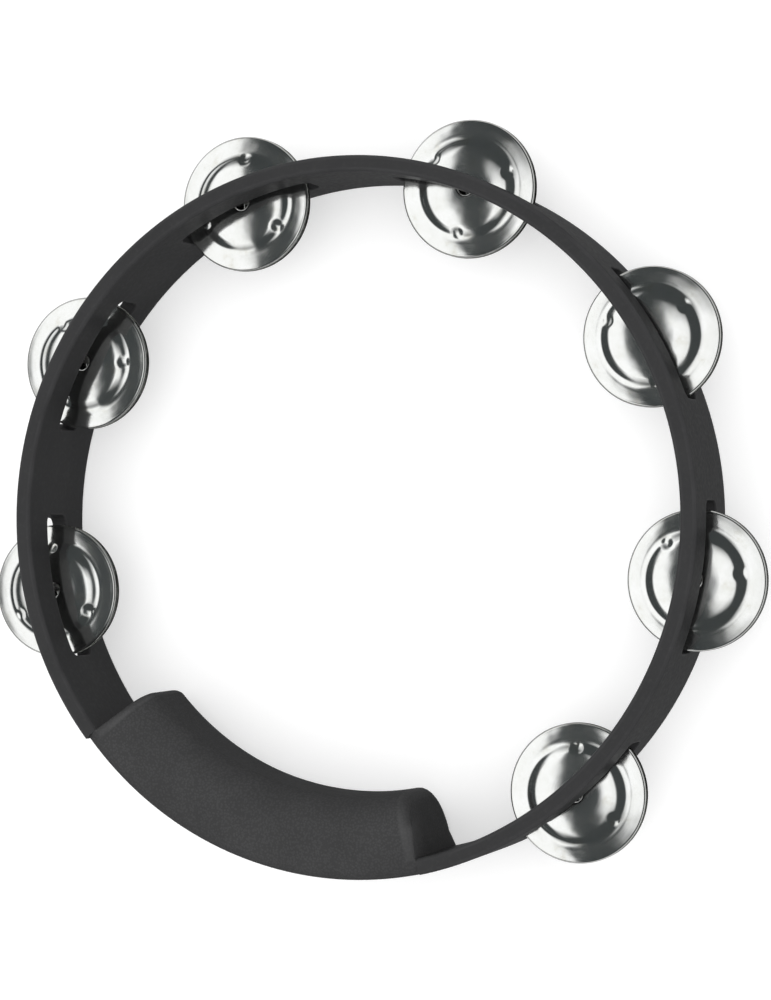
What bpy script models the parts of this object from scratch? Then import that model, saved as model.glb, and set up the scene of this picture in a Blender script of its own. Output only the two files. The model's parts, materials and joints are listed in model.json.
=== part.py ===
"""Headless ring tambourine: a moulded hoop with a soft grip and seven pairs of jingles on pins.

The ring lies flat. Its axis is +Z and its back rim is at z = 0. The grip is at -Y and the
middle jingle pair at +Y. The origin is under the middle of the whole outline, so the ring's
own centre lies a little towards -Y. All lengths are in metres and all angles in radians.
"""

import math

import bmesh
import bpy
from mathutils import Matrix, Vector

# Ring
HOOP_R = 0.127  # outside radius
HOOP_WIDTH = 0.045  # along the ring's axis
WALL = 0.0058
RIM_ROUND = 0.0015
RING_STEP = math.radians(3)  # turn of one facet of the ring

# Jingles and their pins
PAIRS = 7
PAIR_PITCH = math.radians(40.3)
PIN_CIRCLE_R = 0.1238
JINGLE_R = 0.0245
JINGLE_HEIGHT = 0.0044  # from the rim's plane to the crown
SHEET = 0.0008
JINGLE_HOLE_R = 0.0026
JINGLE_DOME = ((0.35, 0.945), (0.59, 0.75), (0.76, 0.37))  # shares of the radius and the height
JINGLE_FACETS = 28
PIN_R = 0.0013
PIN_HEAD_R = 0.0020
PIN_HEAD_HEIGHT = 0.0012
PIN_LENGTH = 0.0388
PIN_CHAMFER = 0.0004
PIN_FACETS = 12

# Slots
SLOT_LENGTH = 0.053
SLOT_HEIGHT = 0.015
SLOT_ROUND = 0.003

# Grip
GRIP_SPAN = math.radians(64.2)
GRIP_INNER_R = 0.0979
GRIP_OUTER_R = 0.127
GRIP_ROUND_OUTER = WALL
GRIP_ROUND_FRONT = 0.0125
GRIP_ROUND_BACK = 0.0175
GRIP_END_ROUND = 0.0045

# Band and core that carry the grip
BAND_INNER_R = 0.1216
BAND_OUTER_R = 0.1244
BAND_MARGIN = 0.004  # from each rim plane
BAND_ROUND = 0.001
CORE_INNER_R = 0.107
CORE_MARGIN = 0.010
CORE_SPAN = math.radians(50)
CORE_ROUND = 0.004

GAP = 0.0003  # between neighbouring pieces
REACH = 0.004  # how far the band runs into the ring's wall at each end of the grip

# Where the jingles lie: the back one's crown is just clear of the back bar, and the front one
# hangs clear of it by more than the back one can travel.
RIM_GAP = 0.0023
SLOT_LOW = (HOOP_WIDTH - SLOT_HEIGHT) / 2
BACK_RIM_Z = SLOT_LOW + GAP + JINGLE_HEIGHT
FRONT_RIM_Z = BACK_RIM_Z + RIM_GAP

MIDDLE = math.pi / 2  # the middle pair's angle
GRIP_ANGLE = -math.pi / 2
HOOP_CENTRE = Vector((0, -(PIN_CIRCLE_R + JINGLE_R - HOOP_R) / 2, 0))


def clear_scene():
    for obj in list(bpy.data.objects):
        bpy.data.objects.remove(obj)


def material(name, colour, roughness, metallic=0.0):
    made = bpy.data.materials.new(name)
    made.use_nodes = True
    shader = made.node_tree.nodes["Principled BSDF"]
    shader.inputs["Base Color"].default_value = (*colour, 1)
    shader.inputs["Roughness"].default_value = roughness
    shader.inputs["Metallic"].default_value = metallic
    return made


def empty_at(name, parent, matrix):
    empty = bpy.data.objects.new(name, None)
    bpy.context.scene.collection.objects.link(empty)
    empty.parent = parent
    empty.matrix_local = matrix
    return empty


def link_object(name, mesh, parent, look=None, matrix=None):
    obj = bpy.data.objects.new(name, mesh)
    bpy.context.scene.collection.objects.link(obj)
    obj.parent = parent
    obj.matrix_local = matrix or Matrix()
    if look and not mesh.materials:
        mesh.materials.append(look)
    return obj


def mesh_from(bm, name, smooth_angle=35):
    """The bmesh as a mesh with its faces pointing out, smooth except where it turns sharply."""
    bmesh.ops.recalc_face_normals(bm, faces=bm.faces)
    mesh = bpy.data.meshes.new(name)
    bm.to_mesh(mesh)
    bm.free()
    mesh.shade_smooth()
    mesh.set_sharp_from_angle(angle=math.radians(smooth_angle))
    return mesh


def rounded_outline(low, high, rounds, arc_steps=3):
    """Points round a rectangle from low to high (two coordinates each).

    rounds holds the corner radii, starting at the high-high corner and going anticlockwise.
    """
    turns = ((1, 1), (-1, 1), (-1, -1), (1, -1))
    points = []
    for quarter, ((sx, sy), radius) in enumerate(zip(turns, rounds)):
        corner = (high[0] if sx > 0 else low[0], high[1] if sy > 0 else low[1])
        centre = (corner[0] - sx * radius, corner[1] - sy * radius)
        for step in range(arc_steps + 1):
            angle = (quarter + step / arc_steps) * math.pi / 2
            points.append((centre[0] + radius * math.cos(angle), centre[1] + radius * math.sin(angle)))
    return points


def swept_arc(name, outline, middle, span, smooth_angle=35):
    """A closed solid: the outline (radius, height) swept round Z over span, centred on middle."""
    bm = bmesh.new()
    start = Matrix.Rotation(middle - span / 2, 3, "Z")
    verts = [bm.verts.new(start @ Vector((r, 0, z))) for r, z in outline]
    first = bm.faces.new(verts)
    bmesh.ops.spin(
        bm, geom=[first, *verts, *first.edges], axis=(0, 0, 1), cent=(0, 0, 0),
        angle=span, steps=2 * round(span / RING_STEP / 2),
    )
    return mesh_from(bm, name, smooth_angle)


def turned(name, profile, facets, smooth_angle=35):
    """A solid turned round Z from a closed profile (radius, height), which may touch the axis."""
    bm = bmesh.new()
    verts = [bm.verts.new((r, 0, z)) for r, z in profile]
    edges = [bm.edges.new((a, b)) for a, b in zip(verts, verts[1:] + verts[:1])]
    bmesh.ops.spin(
        bm, geom=verts + edges, axis=(0, 0, 1), cent=(0, 0, 0), angle=2 * math.pi, steps=facets,
    )
    bmesh.ops.remove_doubles(bm, verts=bm.verts, dist=1e-6)
    bmesh.ops.dissolve_degenerate(bm, edges=bm.edges, dist=1e-7)
    return mesh_from(bm, name, smooth_angle)


def as_cutter(obj):
    obj.hide_render = True
    obj.display_type = "WIRE"
    return obj


def boolean(target, other, operation):
    made = target.modifiers.new(f"{operation.lower()} {other.name}", "BOOLEAN")
    made.operation = operation
    made.object = other


def pair_angle(number):
    """The angle of pair 1 to PAIRS, anticlockwise, with the middle pair at +Y."""
    return MIDDLE + (number - (PAIRS + 1) / 2) * PAIR_PITCH


def pin_place(number):
    """Where a pin's own axis stands in the ring's frame."""
    return Matrix.Rotation(pair_angle(number), 4, "Z") @ Matrix.Translation((PIN_CIRCLE_R, 0, 0))


def wall_outline():
    rounds = [RIM_ROUND] * 4
    return rounded_outline((HOOP_R - WALL, 0), (HOOP_R, HOOP_WIDTH), rounds, arc_steps=2)


def band_mesh(name, grow=0.0):
    """The thin band under the grip, wide enough in angle to reach into the wall at both ends."""
    outline = rounded_outline(
        (BAND_INNER_R - grow, BAND_MARGIN - grow),
        (BAND_OUTER_R + grow, HOOP_WIDTH - BAND_MARGIN + grow),
        [BAND_ROUND] * 4, arc_steps=1,
    )
    return swept_arc(name, outline, GRIP_ANGLE, GRIP_SPAN + 2 * REACH / HOOP_R)


def core_mesh(name, grow=0.0):
    """The thicker core that stands inwards from the band and fills out the grip."""
    outline = rounded_outline(
        (CORE_INNER_R - grow, CORE_MARGIN - grow),
        ((BAND_INNER_R + BAND_OUTER_R) / 2, HOOP_WIDTH - CORE_MARGIN + grow),
        [BAND_ROUND, CORE_ROUND, CORE_ROUND, BAND_ROUND], arc_steps=2,
    )
    return swept_arc(name, outline, GRIP_ANGLE, CORE_SPAN + 2 * grow / CORE_INNER_R)


def slot_cutter_mesh():
    """One rounded window through the wall for each pair, joined into one cutting mesh."""
    bm = bmesh.new()
    half = (SLOT_LENGTH / 2, SLOT_HEIGHT / 2)
    outline = rounded_outline((-half[0], -half[1]), half, [SLOT_ROUND] * 4)
    depth = 2 * WALL
    for number in range(1, PAIRS + 1):
        place = Matrix.Rotation(pair_angle(number), 4, "Z")
        ends = []
        for r in (HOOP_R - WALL - depth / 2, HOOP_R + depth / 2):
            points = [place @ Vector((r, x, HOOP_WIDTH / 2 + z)) for x, z in outline]
            ends.append([bm.verts.new(point) for point in points])
        bm.faces.new(ends[0])
        bm.faces.new(ends[1])
        for here in range(len(outline)):
            there = (here + 1) % len(outline)
            bm.faces.new((ends[0][here], ends[0][there], ends[1][there], ends[1][here]))
    return mesh_from(bm, "slot_cutters")


def pin_profile(grow=0.0):
    """A pin on its axis: sunk head at the bottom, plain shank and a chamfered tip.

    With grow it is the hole for that pin, open through the back rim.
    """
    low = -PIN_HEAD_HEIGHT if grow else GAP
    head_z = GAP + PIN_HEAD_HEIGHT
    tip_z = GAP + PIN_LENGTH
    return [
        (0, low),
        (PIN_HEAD_R + grow, low),
        (PIN_HEAD_R + grow, head_z + grow),
        (PIN_R + grow, head_z + grow),
        (PIN_R + grow, tip_z - PIN_CHAMFER),
        (PIN_R + grow - PIN_CHAMFER, tip_z + grow),
        (0, tip_z + grow),
    ]


def pin_cutter_mesh():
    """The pins' stepped holes, joined into one cutting mesh."""
    bm = bmesh.new()
    for number in range(1, PAIRS + 1):
        hole = turned("pin_hole", pin_profile(GAP), PIN_FACETS)
        hole.transform(pin_place(number))
        bm.from_mesh(hole)
        bpy.data.meshes.remove(hole)
    return mesh_from(bm, "pin_cutters")


def jingle_profile():
    """A dished disc of thin sheet, crown up, rim at z = 0: dome, shoulder and sloping flange."""
    dome = [(JINGLE_R * r, JINGLE_HEIGHT * z) for r, z in JINGLE_DOME]
    upper = [(JINGLE_HOLE_R, JINGLE_HEIGHT), *dome, (JINGLE_R, SHEET)]
    return upper + [(r, z - SHEET) for r, z in reversed(upper)]


def build_hoop(axis, look):
    gap_angle = 2 * GAP / HOOP_R
    ring = swept_arc("hoop", wall_outline(), MIDDLE, 2 * math.pi - GRIP_SPAN - gap_angle)
    hoop = link_object("hoop", ring, axis, look)
    band = as_cutter(link_object("band_tool", band_mesh("band_tool"), axis))
    core = as_cutter(link_object("core_tool", core_mesh("core_tool"), axis))
    slots = as_cutter(link_object("slot_tool", slot_cutter_mesh(), axis))
    pins = as_cutter(link_object("pin_hole_tool", pin_cutter_mesh(), axis))
    boolean(hoop, band, "UNION")
    boolean(hoop, core, "UNION")
    boolean(hoop, slots, "DIFFERENCE")
    boolean(hoop, pins, "DIFFERENCE")


def mark_inner_end_edges(mesh):
    """Gives the bevel its edges: those round the two end faces that stand inside the ring's wall."""
    weights = mesh.attributes.new("bevel_weight_edge", "FLOAT", "EDGE")
    inner_r = HOOP_R - WALL + GAP
    end_turn = GRIP_SPAN / 2 - math.radians(0.01)
    for edge in mesh.edges:
        ends = [mesh.vertices[index].co for index in edge.vertices]
        turns = [abs(math.remainder(math.atan2(p.y, p.x) - GRIP_ANGLE, math.tau)) for p in ends]
        on_end_face = min(turns) > end_turn
        inside_wall = max(math.hypot(p.x, p.y) for p in ends) < inner_r
        weights.data[edge.index].value = float(on_end_face and inside_wall)


def build_grip(axis, look):
    outline = rounded_outline(
        (GRIP_INNER_R, 0), (GRIP_OUTER_R, HOOP_WIDTH),
        [GRIP_ROUND_OUTER, GRIP_ROUND_FRONT, GRIP_ROUND_BACK, GRIP_ROUND_OUTER], arc_steps=4,
    )
    mesh = swept_arc("grip_sleeve", outline, GRIP_ANGLE, GRIP_SPAN)
    mark_inner_end_edges(mesh)
    grip = link_object("grip_sleeve", mesh, axis, look)
    ends = grip.modifiers.new("rounded ends", "BEVEL")
    ends.limit_method = "WEIGHT"
    ends.width = GRIP_END_ROUND
    ends.segments = 2
    ends.use_clamp_overlap = False
    band = as_cutter(link_object("band_space", band_mesh("band_space", GAP), axis))
    core = as_cutter(link_object("core_space", core_mesh("core_space", GAP), axis))
    boolean(grip, band, "DIFFERENCE")
    boolean(grip, core, "DIFFERENCE")


def build_pairs(axis, steel, nickel):
    pin_mesh = turned("pin", pin_profile(), PIN_FACETS)
    jingle_mesh = turned("jingle", jingle_profile(), JINGLE_FACETS)
    front_place = Matrix.Translation((0, 0, FRONT_RIM_Z))
    back_place = Matrix.Translation((0, 0, BACK_RIM_Z)) @ Matrix.Rotation(math.pi, 4, "X")
    for number in range(1, PAIRS + 1):
        pin_axis = empty_at(f"pin_axis_{number}", axis, pin_place(number))
        link_object(f"pin_{number}", pin_mesh, pin_axis, steel)
        link_object(f"jingle_front_{number}", jingle_mesh, pin_axis, nickel, front_place)
        link_object(f"jingle_back_{number}", jingle_mesh, pin_axis, nickel, back_place)


def main():
    clear_scene()
    axis = empty_at("hoop_axis", None, Matrix.Translation(HOOP_CENTRE))
    build_hoop(axis, material("hoop_plastic", (0.035, 0.035, 0.036), 0.42))
    build_grip(axis, material("grip_rubber", (0.060, 0.060, 0.062), 0.65))
    build_pairs(
        axis,
        material("pin_steel", (0.55, 0.55, 0.56), 0.3, 1.0),
        material("jingle_nickel", (0.80, 0.79, 0.77), 0.12, 1.0),
    )


main()
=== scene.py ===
"""Looks of the headless ring tambourine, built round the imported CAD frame.

Every length is in metres, in the frame's axes: the ring lies on z = 0 round +Z, the grip is at -Y
and the middle jingle pair at +Y. Places come from the frame: the pins' axes and the nodes' boxes.
The sizes below are those of the fine shapes that the CAD solids leave plain.
"""

import json
import math

import bmesh
import bpy
from mathutils import Matrix, Vector


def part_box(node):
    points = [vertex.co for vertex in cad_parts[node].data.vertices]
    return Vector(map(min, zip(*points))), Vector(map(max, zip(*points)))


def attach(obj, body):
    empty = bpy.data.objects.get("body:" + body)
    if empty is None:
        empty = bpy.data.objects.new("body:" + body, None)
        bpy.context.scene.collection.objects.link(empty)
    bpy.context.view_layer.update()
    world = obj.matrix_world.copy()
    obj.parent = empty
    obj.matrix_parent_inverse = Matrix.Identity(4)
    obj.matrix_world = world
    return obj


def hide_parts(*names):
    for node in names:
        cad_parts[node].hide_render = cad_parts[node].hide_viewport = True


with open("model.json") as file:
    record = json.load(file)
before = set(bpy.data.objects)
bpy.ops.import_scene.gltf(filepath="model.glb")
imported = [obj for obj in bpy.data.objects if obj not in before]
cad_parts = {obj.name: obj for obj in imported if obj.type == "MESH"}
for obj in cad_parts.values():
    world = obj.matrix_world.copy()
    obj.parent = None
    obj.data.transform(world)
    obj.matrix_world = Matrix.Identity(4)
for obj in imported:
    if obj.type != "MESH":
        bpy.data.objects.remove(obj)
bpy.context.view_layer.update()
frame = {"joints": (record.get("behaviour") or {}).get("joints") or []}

# Ring: a wall with rounded rims and one rounded slot for each pair
WALL = 0.0058
RIM_ROUND = 0.0015
RIM_FLAT = 0.0020  # from either face of the wall to where nothing rubs its rim
SLOT_LENGTH = 0.053
SLOT_HEIGHT = 0.015
SLOT_ROUND = 0.003
SLOT_EDGE = 0.0006  # rounding of a slot's edges
COLUMN_STEP = 0.0022  # along the wall, between two columns of the mesh
ROWS = 4  # of faces above and below a slot
MID_ROWS = 4  # of faces beside a slot's straight end
SLOT_COLUMNS = 22  # of faces along a slot's straight side
CORNER_STEPS = 6  # of faces round a slot's corner
SLOT_EDGE_STEPS = 4
RIM_STEPS = 5
HOOP_EDGE_TURN = math.radians(14)  # an edge of the mesh that turns this far is rubbed in full

# Grip
GRIP_SPAN = math.radians(64.2)
GRIP_DEPTH = 0.0291
GRIP_ROUND_FRONT = 0.0125
GRIP_ROUND_BACK = 0.0175
GRIP_END_ROUND = 0.0045
GRIP_STEP = math.radians(1.5)
GRIP_ARC_STEPS = 10  # round each corner of the section
GRIP_END_STEPS = 6
GRIP_EDGE_TURN = math.radians(16)
JOINT_GAP = 0.00004  # where the grip's ends meet the ring

# Pins
PIN_R = 0.0013
PIN_HEAD_R = 0.0020
PIN_HEAD_HEIGHT = 0.0012
PIN_CLEARANCE = 0.0003
PIN_FACETS = 40
PIN_EDGE_TURN = math.radians(30)

# Jingles. The profile is the upper face's, as (radius, height), from the hole's lip to the rolled rim.
SHEET = 0.0006
JINGLE_HOLE_R = 0.0026
JINGLE_PROFILE = (
    (JINGLE_HOLE_R, 0.00395), (0.0030, 0.00430), (0.0038, 0.00440), (0.0085, 0.00418), (0.0120, 0.00378),
    (0.0143, 0.00333), (0.0158, 0.00275), (0.0173, 0.00200), (0.0185, 0.00166), (0.0200, 0.00148),
    (0.0220, 0.00120), (0.0235, 0.00093),
)
RIM_CURL = 0.0009  # radius of the flange's turned-down edge
JINGLE_FACETS = 144
PROFILE_STEPS = 5  # between two points of the profile
CURL_STEPS = 6  # outside the rolled edge
CURL_INNER_STEPS = 3
JINGLE_EDGE_TURN = math.radians(18)
JINGLE_SHARP_TURN = math.radians(50)
DIMPLES = 3
DIMPLE_CIRCLE_R = 0.0158
DIMPLE_R = 0.0026
DIMPLE_DEPTH = 0.0005
# How far each pair's discs have turned on their pin, in degrees from the picture's right
DIMPLE_TURNS = (88, 8, 40, 18, 87, 0, 93)
DISC_HANG = 0.00115  # the loose discs lie off their pins' axes by most of the hole's play, towards the grip

# Camera
VIEW_AZIMUTH = math.radians(106.95)
VIEW_ELEVATION = math.radians(70.23)
VIEW_DISTANCE = 0.9685
VIEW_AIM = Vector((0.0062, -0.0018, 0.0225))
PICTURE_TURN = math.radians(18.9)  # from +X to the picture's right
LENS = 97.9

# Stage and light
FLOOR_R = 3.5
FLOOR_FACETS = 96
SWEEP_R = 3.0  # of the floor's upturned edge
SWEEP_STEPS = 16
FLOOR_GLOW = 0.42  # a light table's, which lifts the shadows on it
DOME_R = 2.4
DOME_ROWS = 24
DOME_FACETS = 48
DOME_TIP = 0.01  # radians from the dome's two tips, which are open, to its end rows
# Heights on the unit sphere, and what the light does between them
SKY_RISE = (-0.2, 0.35)  # the sky brightens over SKY_GLOW
SKY_GLOW = (0.4, 1.4)
HORIZON_RISE = (0.22, 0.31)  # the mirrored horizon fades from HORIZON_GLOW to nothing
HORIZON_GLOW = 0.8
GROUND_RISE = (-0.3, 0)  # the mirrored ground comes up from GROUND_GLOW, as a share of the horizon's glow
GROUND_GLOW = 0.35
DARK_GLOW = (0.042, 0.047, 0.048)
LIGHT_GLOW = 1.1
# What the metal mirrors, by the turn to the picture's left of the camera's axis in degrees: two tall
# softboxes with a dark gap between them, in a dark room
LIGHT_STOPS = (
    (-40, 0.0), (-8, 0.0), (4, 0.9), (20, 1.0), (26, 0.0), (38, 0.0), (43, 1.0), (63, 1.0), (75, 0.0),
)
LIGHT_SLANT = 0.15  # how far the softboxes lean, in degrees of turn for each degree of rise
# Degrees above and below the camera's axis between which they fade out: the near one, then the far one
LIGHT_RISES = ((11, 26), (30, 52))
LIGHT_GAP = (30, 36)  # where the one fade gives way to the other

EDGE_LAYER = "edge_wear"
SHARP_TURN = math.radians(35)  # between two faces, over which their edge isn't shaded smooth
SAME = 1e-9  # two lengths closer than this are one
WELD = 1e-6

PINS = [Vector(j["pos_m"]) for j in frame["joints"] if j["type"] == "hinge"]


def ring_centre():
    """The pins' circle has its centre on x = 0, as far from the first pin as from the middle one."""
    first, middle = PINS[0], PINS[len(PINS) // 2]
    y = (middle.y ** 2 - first.x ** 2 - first.y ** 2) / (2 * (middle.y - first.y))
    return Vector((0, y, 0))


CENTRE = ring_centre()
HOOP_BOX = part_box("hoop")
WIDTH = HOOP_BOX[1].z
HOOP_R = HOOP_BOX[1].y - CENTRE.y
INNER_R = HOOP_R - WALL
JINGLE_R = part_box("jingle_front_1")[1].x - PINS[0].x
GRIP_ANGLE = -math.pi / 2


# Mesh helpers

def link(name, mesh, looks):
    """An object of the mesh, in the scene and with its materials."""
    obj = bpy.data.objects.new(name, mesh)
    bpy.context.scene.collection.objects.link(obj)
    for look in looks:
        mesh.materials.append(look)
    return obj


def finished(bm, name, angle=SHARP_TURN):
    """The bmesh as a mesh with its faces pointing out, smooth except where it turns sharply."""
    bmesh.ops.recalc_face_normals(bm, faces=bm.faces)
    mesh = bpy.data.meshes.new(name)
    bm.to_mesh(mesh)
    bm.free()
    mesh.shade_smooth()
    mesh.set_sharp_from_angle(angle=angle)
    return mesh


def strip(bm, first, second, closed=False):
    """Quads between two rows of as many vertices."""
    count = len(first)
    for here in range(count if closed else count - 1):
        there = (here + 1) % count
        bm.faces.new((first[here], first[there], second[there], second[here]))


def mark_edges(mesh, full_turn):
    """Writes how far each vertex stands on an outward edge, 1 where its faces turn by full_turn or more."""
    bm = bmesh.new()
    bm.from_mesh(mesh)
    bm.normal_update()
    worn = [
        min(max([edge.calc_face_angle_signed(0) for edge in vert.link_edges] + [0]) / full_turn, 1)
        for vert in bm.verts
    ]
    bm.free()
    mesh.attributes.new(EDGE_LAYER, "FLOAT", "POINT").data.foreach_set("value", worn)


def spread(low, high, parts):
    """The ends of equal parts between low and high, both included."""
    return [low + (high - low) * n / parts for n in range(parts + 1)]


def turned(name, profile, facets):
    """A solid turned round Z from a closed profile (radius, height), which may touch the axis."""
    bm = bmesh.new()
    verts = [bm.verts.new((r, 0, z)) for r, z in profile]
    edges = [bm.edges.new((a, b)) for a, b in zip(verts, verts[1:] + verts[:1])]
    bmesh.ops.spin(
        bm, geom=verts + edges, axis=(0, 0, 1), cent=(0, 0, 0), angle=2 * math.pi, steps=facets,
    )
    bmesh.ops.remove_doubles(bm, verts=bm.verts, dist=WELD)
    bmesh.ops.dissolve_degenerate(bm, edges=bm.edges, dist=WELD / 10)
    return finished(bm, name)


def smooth_through(points, steps):
    """Points of a curve through the given ones, with the slope at each set by its neighbours."""
    slopes = []
    for n in range(len(points)):
        before, after = points[max(n - 1, 0)], points[min(n + 1, len(points) - 1)]
        slopes.append((after[1] - before[1]) / (after[0] - before[0]))
    curve = []
    for (a, b), (m, k) in zip(zip(points, points[1:]), zip(slopes, slopes[1:])):
        run = b[0] - a[0]
        for t in [n / steps for n in range(steps)]:
            value = (
                (2 * t ** 3 - 3 * t ** 2 + 1) * a[1] + (t ** 3 - 2 * t ** 2 + t) * run * m
                + (3 * t ** 2 - 2 * t ** 3) * b[1] + (t ** 3 - t ** 2) * run * k
            )
            curve.append((a[0] + run * t, value))
    return curve + [points[-1]]


# Ring

def slot_half(offset):
    """The upper half of a slot's outline grown by offset, as (along, up), from its +end to its -end."""
    flat_end = SLOT_LENGTH / 2 - SLOT_ROUND
    radius = SLOT_ROUND + offset
    corner_up = SLOT_HEIGHT / 2 - SLOT_ROUND
    corner = []
    for turn in spread(math.pi / 2, 0, CORNER_STEPS):
        corner.append((flat_end + radius * math.sin(turn), corner_up + radius * math.cos(turn)))
    flat = [(along, corner_up + radius) for along in spread(flat_end, -flat_end, SLOT_COLUMNS)][1:-1]
    return corner + flat + [(-along, up) for along, up in reversed(corner)]


def slot_loop(offset):
    """A slot's whole outline: over the top, down the -end, back along the bottom and up the +end."""
    top = slot_half(offset)
    bottom = [(along, -up) for along, up in reversed(top)]
    end_up = SLOT_HEIGHT / 2 - SLOT_ROUND
    downs = spread(end_up, -end_up, MID_ROWS)[1:-1]
    end = SLOT_LENGTH / 2 + offset
    return top + [(-end, up) for up in downs] + bottom + [(end, up) for up in reversed(downs)]


def at(angle, radius, height):
    """The point that far round the ring, out from its centre and up."""
    return CENTRE + Vector((radius * math.cos(angle), radius * math.sin(angle), height))


def wall_column(bm, outer_angle, inner_angle, slot_up):
    """One cross-section of the wall: its rows of vertices, outside and inside, and both rims.

    Above and below a slot, slot_up is half the slot's height there. Elsewhere it is that of the slot's
    straight end, and the column has middle rows too.
    """
    def point(radius, height):
        share = (radius - INNER_R) / WALL
        return bm.verts.new(at(inner_angle + share * (outer_angle - inner_angle), radius, height))

    middle = WIDTH / 2
    end_up = SLOT_HEIGHT / 2 - SLOT_ROUND
    column = {}
    for side, radius in (("outer", HOOP_R), ("inner", INNER_R)):
        column[side, "low"] = [point(radius, z) for z in spread(RIM_ROUND, middle - slot_up, ROWS)]
        column[side, "high"] = [
            point(radius, z) for z in spread(middle + slot_up, WIDTH - RIM_ROUND, ROWS)
        ]
        if abs(slot_up - end_up) < SAME:
            ups = spread(-end_up, end_up, MID_ROWS)[1:-1]
            column[side, "mid"] = [point(radius, middle + up) for up in ups]
    for rim, z, way in (("front", WIDTH - RIM_ROUND, 1), ("back", RIM_ROUND, -1)):
        arc = spread(0, math.pi / 2, RIM_STEPS)[1:]
        bends = [(RIM_ROUND * (1 - math.cos(a)), z + way * RIM_ROUND * math.sin(a)) for a in arc]
        outer = [point(HOOP_R - inset, height) for inset, height in bends]
        inner = [point(INNER_R + inset, height) for inset, height in bends]
        flat = [point(radius, z + way * RIM_ROUND) for radius in (HOOP_R - RIM_FLAT, INNER_R + RIM_FLAT)]
        column[rim] = outer + flat + inner[::-1]
    return column


def section_loop(column):
    """The closed outline of a column that has no slot in it."""
    outer = column["outer", "low"] + column["outer", "mid"] + column["outer", "high"]
    inner = column["inner", "low"] + column["inner", "mid"] + column["inner", "high"]
    return outer + column["front"] + inner[::-1] + column["back"][::-1]


def join_columns(bm, first, second, in_slot):
    """The faces between two neighbouring columns, with a slot left open in them if in_slot."""
    for side in ("outer", "inner"):
        if in_slot:
            strip(bm, first[side, "low"], second[side, "low"])
            strip(bm, first[side, "high"], second[side, "high"])
        else:
            strip(bm, *[
                column[side, "low"] + column[side, "mid"] + column[side, "high"]
                for column in (first, second)
            ])
    for rim, part, last in (("front", "high", -1), ("back", "low", 0)):
        strip(bm, *[
            [column["outer", part][last], *column[rim], column["inner", part][last]]
            for column in (first, second)
        ])


def line_slot(bm, place, columns):
    """The rounded edges and the walls of one slot, between the wall's outer and inner faces.

    columns are the slot's own, from its +end to its -end; place turns the slot's frame to its pin.
    """
    def wall_edge(side):
        tops = [column[side, "high"][0] for column in columns]
        bottoms = [column[side, "low"][-1] for column in columns]
        return tops + columns[-1][side, "mid"][::-1] + bottoms[::-1] + columns[0][side, "mid"]

    def ring_of(offset, radius, depth):
        points = []
        for along, up in slot_loop(offset):
            out = math.sqrt(radius ** 2 - along ** 2) + depth
            points.append(bm.verts.new(CENTRE + place @ Vector((out, along, WIDTH / 2 + up))))
        return points

    arc = spread(0, math.pi / 2, SLOT_EDGE_STEPS)[1:]
    shape = [(SLOT_EDGE * (1 - math.sin(a)), SLOT_EDGE * (1 - math.cos(a))) for a in arc]
    loops = [wall_edge("outer")]
    loops += [ring_of(offset, HOOP_R, -depth) for offset, depth in shape]
    loops += [ring_of(offset, INNER_R, depth) for offset, depth in reversed(shape)]
    loops.append(wall_edge("inner"))
    for first, second in zip(loops, loops[1:]):
        strip(bm, first, second, closed=True)


def hoop_mesh():
    """The wall, built column by column from the grip's +X end round to its other end."""
    bm = bmesh.new()
    end_up = SLOT_HEIGHT / 2 - SLOT_ROUND
    half_span = (GRIP_SPAN + 2 * JOINT_GAP / HOOP_R) / 2
    edge = slot_half(SLOT_EDGE)
    reach = [math.asin(edge[0][0] / radius) for radius in (HOOP_R, INNER_R)]
    columns = []
    slots = []
    last = [GRIP_ANGLE + half_span] * 2
    stops = [math.atan2(pin.y - CENTRE.y, pin.x) % math.tau for pin in PINS]
    stops = [stop - math.tau if stop > math.radians(270) else stop for stop in stops]
    for stop in stops + [None]:
        if stop is None:
            goal = [GRIP_ANGLE - half_span + math.tau] * 2
        else:
            goal = [stop - turn for turn in reach]
        parts = max(2, round((goal[0] - last[0]) * HOOP_R / COLUMN_STEP))
        angles = list(zip(spread(last[0], goal[0], parts), spread(last[1], goal[1], parts)))
        if columns:
            angles = angles[1:]  # the slot before made this column
        if stop is not None:
            angles = angles[:-1]  # the slot ahead makes this column
        for outer_angle, inner_angle in angles:
            columns.append(wall_column(bm, outer_angle, inner_angle, end_up))
        if stop is None:
            break
        first = len(columns)
        for along, up in reversed(edge):
            turns = [stop + math.asin(along / radius) for radius in (HOOP_R, INNER_R)]
            columns.append(wall_column(bm, *turns, up))
        slots.append((stop, first, len(columns) - 1))
        last = [stop + turn for turn in reach]
    inside = {n for _, first, final in slots for n in range(first, final)}
    for n in range(len(columns) - 1):
        join_columns(bm, columns[n], columns[n + 1], n in inside)
    for stop, first, final in slots:
        line_slot(bm, Matrix.Rotation(stop, 3, "Z"), columns[first:final + 1][::-1])
    for column in (columns[0], columns[-1]):
        bm.faces.new(section_loop(column))
    return finished(bm, "hoop_moulding")


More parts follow.
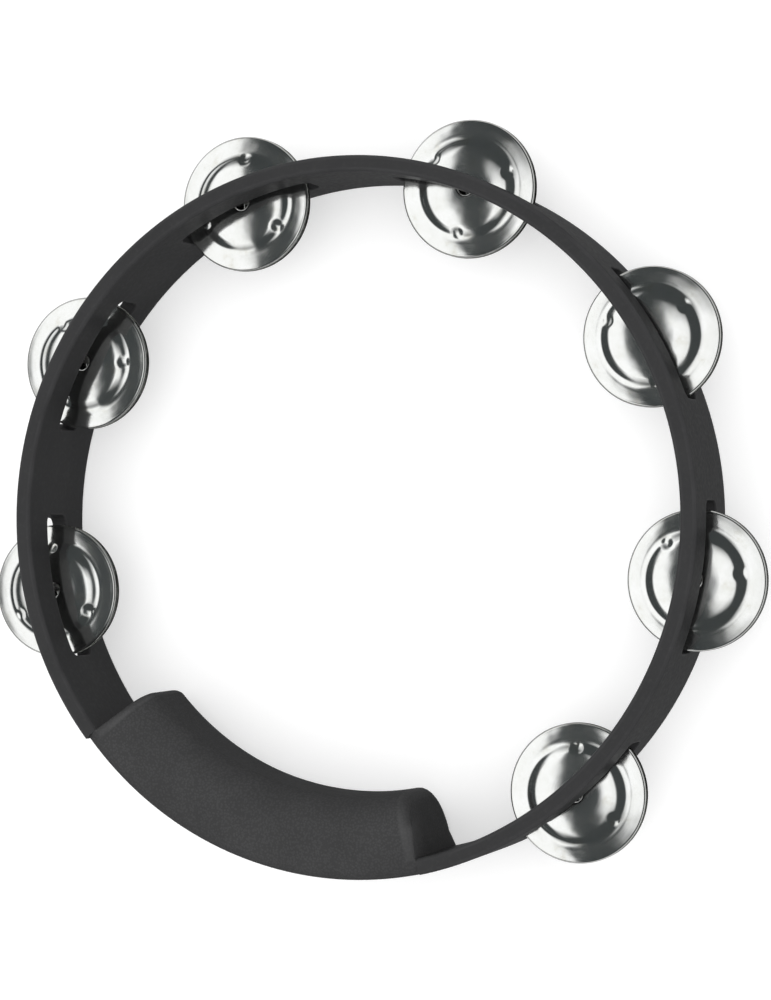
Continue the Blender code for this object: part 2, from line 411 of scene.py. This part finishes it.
def build_hoop(look):
    hoop = link("hoop_moulding", hoop_mesh(), [look])
    holes = bmesh.new()
    for pin in PINS:
        hole = turned("pin_hole", pin_profile(PIN_CLEARANCE), PIN_FACETS)
        hole.transform(Matrix.Translation((pin.x, pin.y, 0)))
        holes.from_mesh(hole)
        bpy.data.meshes.remove(hole)
    cutter = link("pin_holes", finished(holes, "pin_holes"), [])
    cut = hoop.modifiers.new("pin holes", "BOOLEAN")
    cut.operation = "DIFFERENCE"
    cut.object = cutter
    apply_modifiers(hoop)
    bpy.data.objects.remove(cutter)
    hoop.data.set_sharp_from_angle(angle=SHARP_TURN)
    mark_edges(hoop.data, HOOP_EDGE_TURN)
    weigh_normals(hoop)
    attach(hoop, "frame")
    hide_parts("hoop")


def apply_modifiers(obj):
    """Gives the object the mesh that its modifiers make of it, and takes them off."""
    bpy.context.view_layer.update()
    graph = bpy.context.evaluated_depsgraph_get()
    made = bpy.data.meshes.new_from_object(obj.evaluated_get(graph))
    obj.modifiers.clear()
    obj.data = made


def weigh_normals(obj):
    """Lets the large flat faces set the shading of the rounded edges beside them."""
    weigh = obj.modifiers.new("weighted normals", "WEIGHTED_NORMAL")
    weigh.keep_sharp = True


# Grip

def grip_outline():
    """The grip's section as (radius, height, outward radial, outward axial), anticlockwise."""
    low = (HOOP_R - GRIP_DEPTH, 0)
    high = (HOOP_R, WIDTH)
    rounds = (WALL, GRIP_ROUND_FRONT, GRIP_ROUND_BACK, WALL)
    turns = ((1, 1), (-1, 1), (-1, -1), (1, -1))
    outline = []
    for quarter, ((sr, sz), radius) in enumerate(zip(turns, rounds)):
        centre_r = (high[0] if sr > 0 else low[0]) - sr * radius
        centre_z = (high[1] if sz > 0 else low[1]) - sz * radius
        for share in spread(0, 1, GRIP_ARC_STEPS):
            angle = (quarter + share) * math.pi / 2
            out = (math.cos(angle), math.sin(angle))
            outline.append((centre_r + radius * out[0], centre_z + radius * out[1], *out))
    return outline


def grip_mesh():
    """The section swept round the ring. Where it stands in from the wall, its ends are rounded off."""
    bm = bmesh.new()
    outline = grip_outline()
    half = GRIP_SPAN / 2
    round_turn = GRIP_END_ROUND / INNER_R
    ends = [
        (half - round_turn * (1 - math.sin(a)), GRIP_END_ROUND * (1 - math.cos(a)))
        for a in spread(0, math.pi / 2, GRIP_END_STEPS)
    ]
    plain = round((half - round_turn) / GRIP_STEP)
    places = [(turn, 0.0) for turn in spread(0, half - round_turn, plain)] + ends[1:]
    places = [(-turn, inset) for turn, inset in reversed(places[1:])] + places
    rows = []
    for turn, inset in places:
        row = []
        for radius, height, out_r, out_z in outline:
            share = min(max((INNER_R - radius) / GRIP_END_ROUND, 0), 1)
            fade = share * share * (3 - 2 * share)
            row.append(bm.verts.new(at(
                GRIP_ANGLE + turn, radius - out_r * inset * fade, height - out_z * inset * fade,
            )))
        rows.append(row)
    for first, second in zip(rows, rows[1:]):
        strip(bm, first, second, closed=True)
    bm.faces.new(rows[0])
    bm.faces.new(rows[-1])
    return finished(bm, "grip_moulding")


def build_grip(look):
    grip = link("grip_moulding", grip_mesh(), [look])
    mark_edges(grip.data, GRIP_EDGE_TURN)
    weigh_normals(grip)
    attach(grip, "frame")
    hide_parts("grip_sleeve")


# Pins and jingles

def pin_profile(grow=0.0):
    """A pin standing at its own place in height: sunk head, shank and chamfered tip.

    With grow it is the hole for that pin, open through the back rim.
    """
    low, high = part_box("pin_1")
    chamfer = PIN_R / 3
    foot = -PIN_HEAD_HEIGHT if grow else low.z
    head = low.z + PIN_HEAD_HEIGHT + grow
    return [
        (0, foot),
        (PIN_HEAD_R + grow - (0 if grow else chamfer), foot),
        (PIN_HEAD_R + grow, foot + chamfer),
        (PIN_HEAD_R + grow, head),
        (PIN_R + grow, head),
        (PIN_R + grow, high.z - chamfer),
        (PIN_R + grow - chamfer, high.z + grow),
        (0, high.z + grow),
    ]


def jingle_mesh():
    """A stamped disc, crown up, rim plane at z = 0: hole lip, dome, shoulder, flange and rolled rim."""
    top = smooth_through(JINGLE_PROFILE, PROFILE_STEPS)
    curl_r = JINGLE_R - RIM_CURL
    outside = [
        (curl_r + RIM_CURL * math.sin(a), RIM_CURL * math.cos(a))
        for a in spread(0, math.pi / 2, CURL_STEPS)
    ]
    inner_curl = RIM_CURL - SHEET
    inside = [
        (curl_r + inner_curl * math.sin(a), inner_curl * math.cos(a))
        for a in spread(math.pi / 2, 0, CURL_INNER_STEPS)
    ]
    under = [(r, z - SHEET) for r, z in reversed(top)]
    profile = top + outside + inside + under
    bm = bmesh.new()
    rings = []
    for radius, height in profile:
        ring = []
        for n in range(JINGLE_FACETS):
            angle = n * math.tau / JINGLE_FACETS
            x, y = radius * math.cos(angle), radius * math.sin(angle)
            ring.append(bm.verts.new((x, y, height - dimple(x, y))))
        rings.append(ring)
    for first, second in zip(rings, rings[1:] + rings[:1]):
        strip(bm, first, second, closed=True)
    return finished(bm, "jingle_disc", JINGLE_SHARP_TURN)


def dimple(x, y):
    """How far the disc is pressed down at (x, y)."""
    depth = 0.0
    for n in range(DIMPLES):
        angle = n * math.tau / DIMPLES
        away = math.hypot(x - DIMPLE_CIRCLE_R * math.cos(angle), y - DIMPLE_CIRCLE_R * math.sin(angle))
        if away < DIMPLE_R:
            depth += DIMPLE_DEPTH * (1 - (away / DIMPLE_R) ** 2) ** 2
    return depth


def build_pairs(steel, nickel):
    """The pins, which share one mesh, and a pair of discs on each, crowns outwards."""
    rod = turned("pin_rod", pin_profile(), PIN_FACETS)
    mark_edges(rod, PIN_EDGE_TURN)
    for number, pin in enumerate(PINS, start=1):
        place = Matrix.Translation((pin.x, pin.y, 0))
        shank = link(f"pin_rod_{number}", rod, [] if rod.materials else [steel])
        shank.matrix_world = place
        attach(shank, f"pin_{number}")
        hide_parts(f"pin_{number}")
        turn = Matrix.Rotation(math.radians(DIMPLE_TURNS[number - 1]) + PICTURE_TURN, 4, "Z")
        for side in ("front", "back"):
            node = f"jingle_{side}_{number}"
            low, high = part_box(node)
            disc = jingle_mesh()
            mark_edges(disc, JINGLE_EDGE_TURN)
            piece = link(f"jingle_disc_{side}_{number}", disc, [nickel])
            disc.transform(turn)
            if side == "back":
                disc.transform(Matrix.Rotation(math.pi, 4, "X"))
            rim_z = low.z if side == "front" else high.z
            piece.matrix_world = place @ Matrix.Translation((0, -DISC_HANG, rim_z))
            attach(piece, node)
            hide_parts(node)


# Materials

def new_material(name, colour, roughness, metallic=0.0):
    """A Principled material, with its node tree and its shader node."""
    made = bpy.data.materials.new(name)
    made.use_nodes = True
    shader = made.node_tree.nodes["Principled BSDF"]
    shader.inputs["Base Color"].default_value = (*colour, 1)
    shader.inputs["Roughness"].default_value = roughness
    shader.inputs["Metallic"].default_value = metallic
    return made, made.node_tree, shader


def add(tree, kind, **inputs):
    """A node of that kind, with values on its inputs."""
    node = tree.nodes.new(kind)
    for name, value in inputs.items():
        node.inputs[name.replace("_", " ")].default_value = value
    return node


def math_node(tree, kind, *values):
    """A Math node on sockets or numbers. It gives back its output."""
    node = tree.nodes.new("ShaderNodeMath")
    node.operation = kind
    for socket, value in zip(node.inputs, values):
        if isinstance(value, (int, float)):
            socket.default_value = value
        else:
            tree.links.new(value, socket)
    return node.outputs[0]


def place_of(tree, stretch=(1, 1, 1)):
    """The object's own coordinates in metres, squeezed along each axis by stretch."""
    place = add(tree, "ShaderNodeTexCoord")
    scaled = add(tree, "ShaderNodeMapping", Scale=stretch)
    tree.links.new(place.outputs["Object"], scaled.inputs["Vector"])
    return scaled.outputs[0]


def noise(tree, place, size, detail=2.0, rough=0.5):
    """Noise from 0 to 1 whose spots are about size across, in metres."""
    node = add(tree, "ShaderNodeTexNoise", Scale=1 / size, Detail=detail, Roughness=rough)
    tree.links.new(place, node.inputs["Vector"])
    return node.outputs[0]


def between(tree, value, low, high, out_low, out_high):
    """The value mapped from low-high to out_low-out_high, and held there outside them."""
    node = add(tree, "ShaderNodeMapRange", From_Min=low, From_Max=high, To_Min=out_low, To_Max=out_high)
    tree.links.new(value, node.inputs["Value"])
    return node.outputs[0]


def mixed(tree, share, first, second):
    """The first colour where share is 0 and the second where it is 1. Either may be a socket."""
    node = tree.nodes.new("ShaderNodeMix")
    node.data_type = "RGBA"
    inputs = [socket for socket in node.inputs if socket.type == "RGBA"]
    tree.links.new(share, node.inputs["Factor"])
    for socket, colour in zip(inputs, (first, second)):
        if isinstance(colour, tuple):
            socket.default_value = (*colour, 1)
        else:
            tree.links.new(colour, socket)
    return next(socket for socket in node.outputs if socket.type == "RGBA")


def edge_wear(tree, place, size):
    """How worn an outward edge is, from 0 to 1, broken up by noise."""
    layer = tree.nodes.new("ShaderNodeAttribute")
    layer.attribute_name = EDGE_LAYER
    edge = between(tree, layer.outputs["Fac"], 0.6, 1, 0, 1)
    patches = between(tree, noise(tree, place, size, 2.0), 0.35, 0.7, 0.2, 1)
    return math_node(tree, "MULTIPLY", edge, patches)


def bumps(tree, shader, *layers):
    """Bump layers on the shader, each a height from 0 to 1 and its depth in metres."""
    below = None
    for height, depth in layers:
        node = add(tree, "ShaderNodeBump", Distance=depth)
        tree.links.new(height, node.inputs["Height"])
        if below:
            tree.links.new(below, node.inputs["Normal"])
        below = node.outputs[0]
    tree.links.new(below, shader.inputs["Normal"])


def plastic_material():
    """Moulded charcoal plastic: a fine spark-eroded grain, faint cloudiness, rubbed edges."""
    made, tree, shader = new_material("hoop_plastic", (0.025, 0.025, 0.026), 0.45)
    shader.inputs["Specular IOR Level"].default_value = 0.12
    place = place_of(tree)
    clouds = noise(tree, place, 0.018, 3.0)
    grain = noise(tree, place, 0.00045, 2.0)
    specks = noise(tree, place, 0.0016, 4.0, 0.6)
    wear = edge_wear(tree, place, 0.015)
    cloudy = between(tree, clouds, 0.3, 0.7, 0, 1)
    body = mixed(tree, cloudy, (0.0285, 0.0285, 0.0295), (0.0325, 0.0325, 0.0335))
    dusted = mixed(tree, between(tree, specks, 0.52, 0.72, 0, 0.45), body, (0.042, 0.042, 0.042))
    colour = mixed(tree, math_node(tree, "MULTIPLY", wear, 0.35), dusted, (0.060, 0.060, 0.062))
    tree.links.new(colour, shader.inputs["Base Color"])
    dull = between(tree, specks, 0.3, 0.7, 0.44, 0.58)
    polish = math_node(tree, "MULTIPLY", wear, 0.14)
    tree.links.new(math_node(tree, "SUBTRACT", dull, polish), shader.inputs["Roughness"])
    bumps(tree, shader, (clouds, 0.00003), (grain, 0.00002))
    return made


def rubber_material():
    """Soft charcoal grip: leathery pebble grain with painted shade in its creases, handled patches and
    paler rubbed ends.
    """
    made, tree, shader = new_material("grip_rubber", (0.042, 0.042, 0.043), 0.62)
    shader.inputs["Specular IOR Level"].default_value = 0.12
    place = place_of(tree)
    patches = noise(tree, place, 0.014, 3.0)
    fine = noise(tree, place, 0.0005, 3.0)
    cells = add(tree, "ShaderNodeTexVoronoi", Scale=1 / 0.00085)
    tree.links.new(place, cells.inputs["Vector"])
    pebbles = between(tree, cells.outputs["Distance"], 0.05, 0.6, 1, 0)
    wear = edge_wear(tree, place, 0.012)
    body = mixed(tree, between(tree, patches, 0.3, 0.7, 0, 1), (0.040, 0.040, 0.041), (0.047, 0.047, 0.048))
    # Painted shade: the colour darkens towards near black in the creases between the pebbles, where shade
    # would fall.
    crease_shaded = mixed(tree, between(tree, pebbles, 0, 0.5, 0.3, 0), body, (0.018, 0.018, 0.018))
    colour = mixed(tree, math_node(tree, "MULTIPLY", wear, 0.4), crease_shaded, (0.085, 0.085, 0.086))
    tree.links.new(colour, shader.inputs["Base Color"])
    tree.links.new(between(tree, patches, 0.3, 0.7, 0.55, 0.7), shader.inputs["Roughness"])
    bumps(tree, shader, (patches, 0.00004), (pebbles, 0.00005), (fine, 0.00001))
    return made


def steel_material():
    """Drawn steel pin: faint lines along it, a dull film and bright edges."""
    made, tree, shader = new_material("pin_steel", (0.55, 0.55, 0.56), 0.3, 1.0)
    place = place_of(tree, (1, 1, 0.05))
    lines = noise(tree, place, 0.00012, 2.0)
    film = noise(tree, place_of(tree), 0.0015, 3.0)
    wear = edge_wear(tree, place_of(tree), 0.001)
    body = mixed(tree, between(tree, film, 0.35, 0.7, 0, 1), (0.56, 0.56, 0.57), (0.38, 0.36, 0.33))
    tree.links.new(mixed(tree, wear, body, (0.72, 0.72, 0.72)), shader.inputs["Base Color"])
    tree.links.new(between(tree, lines, 0.3, 0.7, 0.24, 0.42), shader.inputs["Roughness"])
    bumps(tree, shader, (lines, 0.000006), (film, 0.00002))
    return made


def nickel_material():
    """Spun nickel-plated sheet: lines round the middle, slow ripples from the press, hairline
    scratches, and a warm tarnish in patches and along the rim."""
    made, tree, shader = new_material("jingle_nickel", (0.84, 0.84, 0.82), 0.1, 1.0)
    place = place_of(tree)
    axes = add(tree, "ShaderNodeSeparateXYZ")
    tree.links.new(place, axes.inputs[0])
    across = math_node(tree, "POWER", axes.outputs["X"], 2)
    along = math_node(tree, "POWER", axes.outputs["Y"], 2)
    radius = math_node(tree, "SQRT", math_node(tree, "ADD", across, along))
    spun = add(tree, "ShaderNodeTexNoise", Scale=1 / 0.00035, Detail=3.0, Roughness=0.7)
    spun.noise_dimensions = "1D"
    tree.links.new(radius, spun.inputs["W"])
    rings = spun.outputs[0]
    ripple = noise(tree, place, 0.009, 1.0)
    film = noise(tree, place, 0.006, 4.0, 0.6)
    hairlines = []
    for stretch in ((1, 0.03, 1), (0.04, 1, 1)):
        streaks = noise(tree, place_of(tree, stretch), 0.00025, 1.0)
        hairlines.append(between(tree, streaks, 0.66, 0.74, 0, 1))
    scratches = math_node(tree, "MAXIMUM", *hairlines)
    wear = edge_wear(tree, place, 0.004)
    body = mixed(tree, between(tree, film, 0.35, 0.75, 0, 1), (0.88, 0.89, 0.88), (0.80, 0.81, 0.78))
    warm = mixed(tree, between(tree, film, 0.6, 0.85, 0, 0.35), body, (0.60, 0.55, 0.44))
    colour = mixed(tree, math_node(tree, "MULTIPLY", wear, 0.5), warm, (0.45, 0.43, 0.38))
    tree.links.new(colour, shader.inputs["Base Color"])
    soft = between(tree, film, 0.3, 0.75, 0.07, 0.12)
    lined = math_node(tree, "ADD", soft, between(tree, rings, 0.35, 0.7, 0, 0.04))
    roughness = math_node(tree, "ADD", lined, math_node(tree, "MULTIPLY", scratches, 0.04))
    tree.links.new(roughness, shader.inputs["Roughness"])
    bumps(tree, shader, (ripple, 0.00012), (rings, 0.0000035))
    return made


# Camera, stage and light

def view_axes():
    """The camera's right, up and back directions."""
    back = Vector((
        math.sin(VIEW_AZIMUTH) * math.cos(VIEW_ELEVATION),
        -math.cos(VIEW_AZIMUTH) * math.cos(VIEW_ELEVATION),
        math.sin(VIEW_ELEVATION),
    ))
    right = Vector((-math.sin(PICTURE_TURN), math.cos(PICTURE_TURN), 0)).cross(back).normalized()
    return right, back.cross(right), back


def rows_mesh(name, rows, capped=False):
    """Bands of quads between closed rows of points, with a face across the first row if capped."""
    bm = bmesh.new()
    made = [[bm.verts.new(point) for point in row] for row in rows]
    for first, second in zip(made, made[1:]):
        strip(bm, first, second, closed=True)
    if capped:
        bm.faces.new(made[0])
    bmesh.ops.recalc_face_normals(bm, faces=bm.faces)
    mesh = bpy.data.meshes.new(name)
    bm.to_mesh(mesh)
    bm.free()
    return mesh


def circle(radius, height, facets):
    """Points round Z, one for each facet."""
    turns = spread(0, math.tau, facets)[:-1]
    return [(radius * math.cos(turn), radius * math.sin(turn), height) for turn in turns]


def build_stage():
    """A white floor with an upturned edge, which no piece mirrors, and a pale sky."""
    pale, _, shader = new_material("floor_pale", (0.68, 0.68, 0.68), 0.8)
    shader.inputs["Emission Color"].default_value = (1, 1, 1, 1)
    shader.inputs["Emission Strength"].default_value = FLOOR_GLOW
    sweep = [(FLOOR_R / 2, 0.0), (FLOOR_R, 0.0)]
    for turn in spread(0, math.pi / 2, SWEEP_STEPS)[1:]:
        sweep.append((FLOOR_R + SWEEP_R * math.sin(turn), SWEEP_R * (1 - math.cos(turn))))
    rows = [circle(radius, height, FLOOR_FACETS) for radius, height in sweep]
    floor = link("floor", rows_mesh("floor", rows, capped=True), [pale])
    floor.data.shade_smooth()
    floor.visible_diffuse = False
    floor.visible_glossy = False

    world = bpy.data.worlds.new("studio")
    bpy.context.scene.world = world
    world.use_nodes = True
    tree = world.node_tree
    back = tree.nodes["Background"]
    back.inputs["Color"].default_value = (1, 1, 1, 1)
    ray = add(tree, "ShaderNodeSeparateXYZ")
    tree.links.new(add(tree, "ShaderNodeTexCoord").outputs["Generated"], ray.inputs[0])
    tree.links.new(between(tree, ray.outputs["Z"], *SKY_RISE, *SKY_GLOW), back.inputs["Strength"])
    bpy.context.scene.view_settings.view_transform = "Standard"


def light_material(world_up):
    """The light of the dome: two softboxes in a dark room with a pale horizon.

    The softboxes keep to the dome's own axes. The horizon is level, so it takes world_up in those axes.
    """
    made = bpy.data.materials.new("light_dome")
    made.use_nodes = True
    tree = made.node_tree
    tree.nodes.clear()
    place = add(tree, "ShaderNodeTexCoord")
    ray = add(tree, "ShaderNodeVectorMath")
    ray.operation = "NORMALIZE"
    tree.links.new(place.outputs["Object"], ray.inputs[0])
    axes = add(tree, "ShaderNodeSeparateXYZ")
    tree.links.new(ray.outputs[0], axes.inputs[0])
    rise = math_node(tree, "DEGREES", math_node(tree, "ARCSINE", axes.outputs["Z"]))
    turn = math_node(tree, "DEGREES", math_node(tree, "ARCTAN2", axes.outputs["Y"], axes.outputs["X"]))
    lean = math_node(tree, "SUBTRACT", turn, math_node(tree, "MULTIPLY", rise, LIGHT_SLANT))
    low, high = LIGHT_STOPS[0][0], LIGHT_STOPS[-1][0]
    along = math_node(tree, "DIVIDE", math_node(tree, "SUBTRACT", lean, low), high - low)
    ramp = add(tree, "ShaderNodeValToRGB")
    ramp.color_ramp.interpolation = "EASE"
    points = ramp.color_ramp.elements
    while len(points) < len(LIGHT_STOPS):
        points.new(0.5)
    for point, (degrees, _) in zip(points, LIGHT_STOPS):
        point.position = (degrees - low) / (high - low)
    for point, (_, value) in zip(points, LIGHT_STOPS):
        point.color = (value, value, value, 1)
    tree.links.new(along, ramp.inputs[0])
    height = math_node(tree, "ABSOLUTE", rise)
    near, far = [between(tree, height, end, start, 0, 1) for start, end in LIGHT_RISES]
    side = between(tree, lean, *LIGHT_GAP, 0, 1)
    change = math_node(tree, "MULTIPLY", side, math_node(tree, "SUBTRACT", far, near))
    reach = math_node(tree, "ADD", near, change)
    boxes = math_node(tree, "MULTIPLY", ramp.outputs["Color"], reach)
    level = add(tree, "ShaderNodeVectorMath")
    level.operation = "DOT_PRODUCT"
    level.inputs[1].default_value = world_up
    tree.links.new(ray.outputs[0], level.inputs[0])
    above = between(tree, level.outputs["Value"], *HORIZON_RISE, HORIZON_GLOW, 0)
    below = between(tree, level.outputs["Value"], *GROUND_RISE, GROUND_GLOW, 1)
    lit = math_node(tree, "MAXIMUM", boxes, math_node(tree, "MULTIPLY", above, below))
    glow = add(tree, "ShaderNodeEmission")
    tree.links.new(mixed(tree, lit, DARK_GLOW, (LIGHT_GLOW, LIGHT_GLOW, LIGHT_GLOW)), glow.inputs["Color"])
    end = add(tree, "ShaderNodeOutputMaterial")
    tree.links.new(glow.outputs[0], end.inputs["Surface"])
    return made


def build_light():
    """The dome that only the gloss of the pieces mirrors. +X points to the camera and +Y to the left."""
    right, up, back = view_axes()
    rows = [
        circle(DOME_R * math.cos(rise), DOME_R * math.sin(rise), DOME_FACETS)
        for rise in spread(DOME_TIP - math.pi / 2, math.pi / 2 - DOME_TIP, DOME_ROWS)
    ]
    look = light_material((back.z, -right.z, up.z))
    dome = link("light_dome", rows_mesh("light_dome", rows), [look])
    dome.matrix_world = Matrix.Translation(CENTRE) @ Matrix((back, -right, up)).transposed().to_4x4()
    for kind in ("camera", "diffuse", "shadow", "transmission", "volume_scatter"):
        setattr(dome, f"visible_{kind}", False)


def build_camera():
    right, up, back = view_axes()
    data = bpy.data.cameras.new("camera")
    data.lens = LENS
    camera = bpy.data.objects.new("camera", data)
    bpy.context.scene.collection.objects.link(camera)
    turn = Matrix((right, up, back)).transposed().to_4x4()
    camera.matrix_world = Matrix.Translation(VIEW_AIM + back * VIEW_DISTANCE) @ turn
    bpy.context.scene.camera = camera


def main():
    build_hoop(plastic_material())
    build_grip(rubber_material())
    build_pairs(steel_material(), nickel_material())
    build_stage()
    build_light()
    build_camera()


main()
